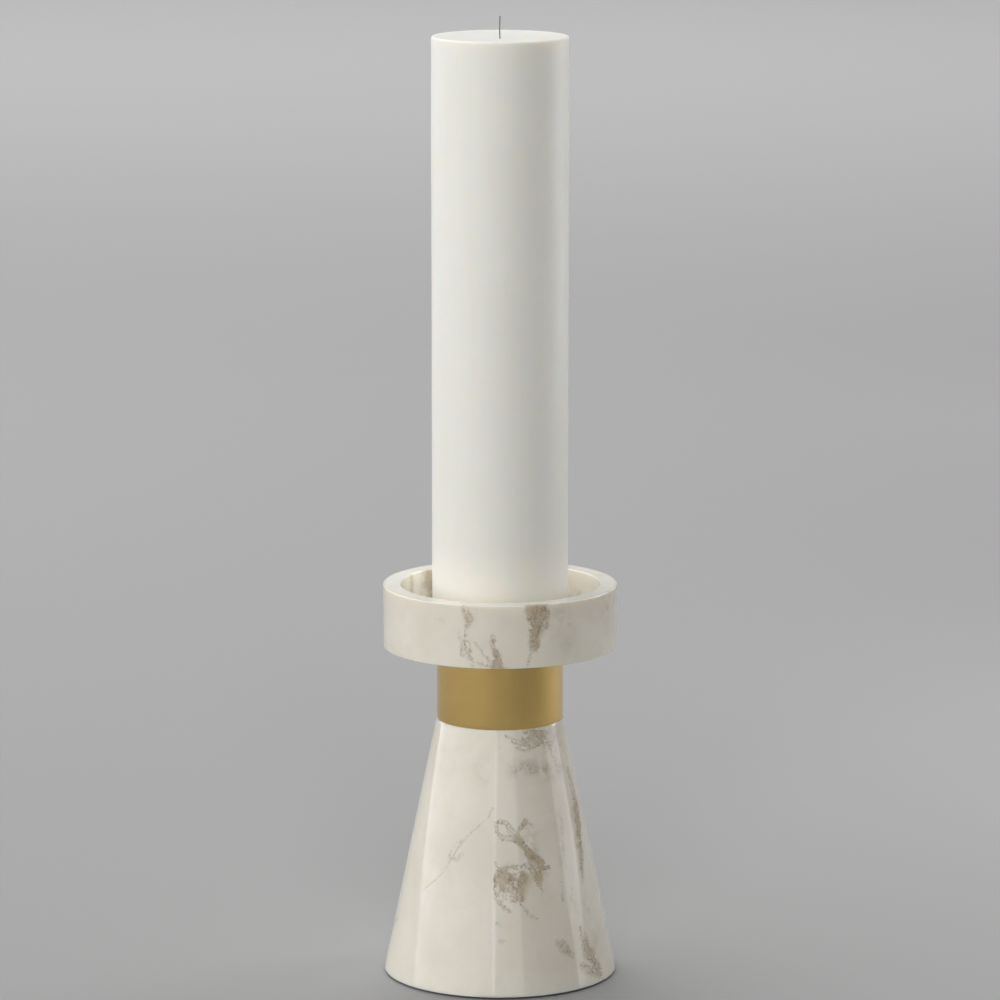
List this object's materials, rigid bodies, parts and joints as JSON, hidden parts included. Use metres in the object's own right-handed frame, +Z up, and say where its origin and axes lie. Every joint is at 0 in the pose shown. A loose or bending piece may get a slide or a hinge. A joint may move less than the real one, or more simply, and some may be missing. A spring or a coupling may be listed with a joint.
{
  "type": "candlestick",
  "caption": "Turned marble candlestick: conical base, satin brass collar and a shallow round dish holding a tall pillar candle that lifts out.",
  "frame": {"origin": "centre of the felt foot's underside, on the surface that the candlestick stands on", "axes": "+Z up along the turning axis, +Y away from the picture's viewer, +X to the viewer's right"},
  "size_m": [0.1204, 0.1204, 0.4991],
  "materials": {
    "marble": "polished cream marble with brown veins",
    "satin_brass": "satin",
    "insert_brass": "machined",
    "zinc_steel": "zinc plated",
    "rubber": "matte",
    "felt": "pressed felt",
    "wax": "smooth ivory wax",
    "wick_cotton": "waxed cotton cord"
  },
  "bodies": {
    "stand": {"felt_pad": "felt", "marble_base": "marble", "brass_collar": "satin_brass", "marble_dish": "marble", "threaded_insert": "insert_brass", "tie_stud": "zinc_steel", "rubber_washer": "rubber", "flat_washer": "zinc_steel", "spring_washer": "zinc_steel", "clamp_nut": "zinc_steel"},
    "candle": {"wax_candle": "wax", "candle_wick": "wick_cotton"}
  },
  "joints": [
    {"name": "candle_lift", "type": "slide", "parent": "stand", "child": "candle", "axis": [0, 0, 1], "range_m": [0, 0.06]}
  ]
}
